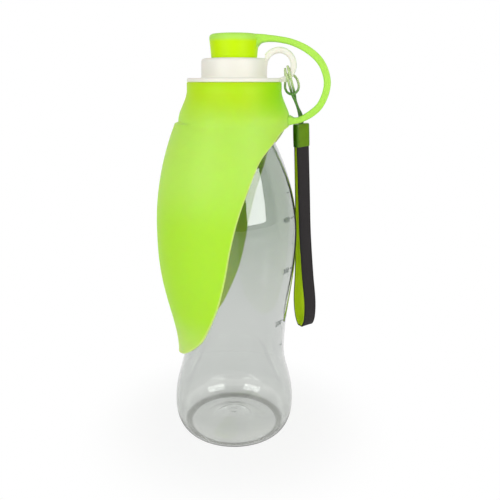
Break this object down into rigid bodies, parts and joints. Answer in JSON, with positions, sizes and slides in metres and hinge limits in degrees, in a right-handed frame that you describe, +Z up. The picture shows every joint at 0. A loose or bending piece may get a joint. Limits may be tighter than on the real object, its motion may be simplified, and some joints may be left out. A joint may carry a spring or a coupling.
{
  "type": "dog travel water bottle",
  "caption": "Clear waisted squeeze bottle with a screw cap, a flip-up leaf drinking bowl, a tethered spout plug and a corded wrist strap.",
  "frame": {"origin": "centre of the bottle's flat standing ring, on the surface that it stands on", "axes": "+Z up the bottle's axis, +X towards the plug's tether and the cap's eyelet, so that the leaf's tip is on the -X side and the leaf is symmetric about y = 0"},
  "size_m": [0.0946, 0.0776, 0.2275],
  "materials": {
    "clear_bottle": "clear blown wall with a faint grey-green tint, glossy",
    "liner_foam": "soft white sealing liner, matt",
    "cap_plastic": "off-white moulded plastic, satin",
    "leaf_silicone": "lime green silicone, satin, slightly translucent",
    "plug_silicone": "yellow-green silicone, satin",
    "cord_nylon": "thin braided green cord",
    "ferrule_plastic": "olive green moulded sleeve, glossy",
    "tape_dark": "charcoal woven tape",
    "tape_green": "lime woven tape"
  },
  "bodies": {
    "bottle": {"bottle": "clear_bottle", "bottle_top": "clear_bottle"},
    "liner": {"cap_liner": "liner_foam"},
    "cap": {"cap": "cap_plastic", "leaf_bowl": "leaf_silicone", "plug_tether": "leaf_silicone"},
    "plug": {"spout_plug": "plug_silicone"},
    "cord": {"hitch_cord": "cord_nylon"},
    "strap": {"cord_ferrule": "ferrule_plastic", "strap_outer_tape": "tape_dark", "strap_inner_tape": "tape_green"}
  },
  "joints": [
    {"name": "cap_lift", "type": "slide", "parent": "bottle", "child": "liner", "axis": [0, 0, 1], "range_m": [0, 0.00605]},
    {"name": "cap_turn", "type": "hinge", "parent": "liner", "child": "cap", "pos_m": [0, 0, 0.2], "axis": [0, 0, 1], "range_deg": [0, 540]},
    {"name": "plug_pull", "type": "slide", "parent": "cap", "child": "plug", "axis": [0, 0, 1], "range_m": [0, 0.016], "deforming": ["plug_tether"]},
    {"name": "cord_swing", "type": "hinge", "parent": "cap", "child": "cord", "pos_m": [0.0289, 0, 0.2063], "axis": [0, -1, 0], "range_deg": [0, 50]},
    {"name": "strap_swing", "type": "hinge", "parent": "cord", "child": "strap", "pos_m": [0.0356, 0.0098, 0.181], "axis": [-0.7771, -0.6293, 0], "range_deg": [0, 40]}
  ],
  "couplings": [
    {"joint": "cap_lift", "follows": "cap_turn", "m_per_rad": 0.00063662}
  ]
}
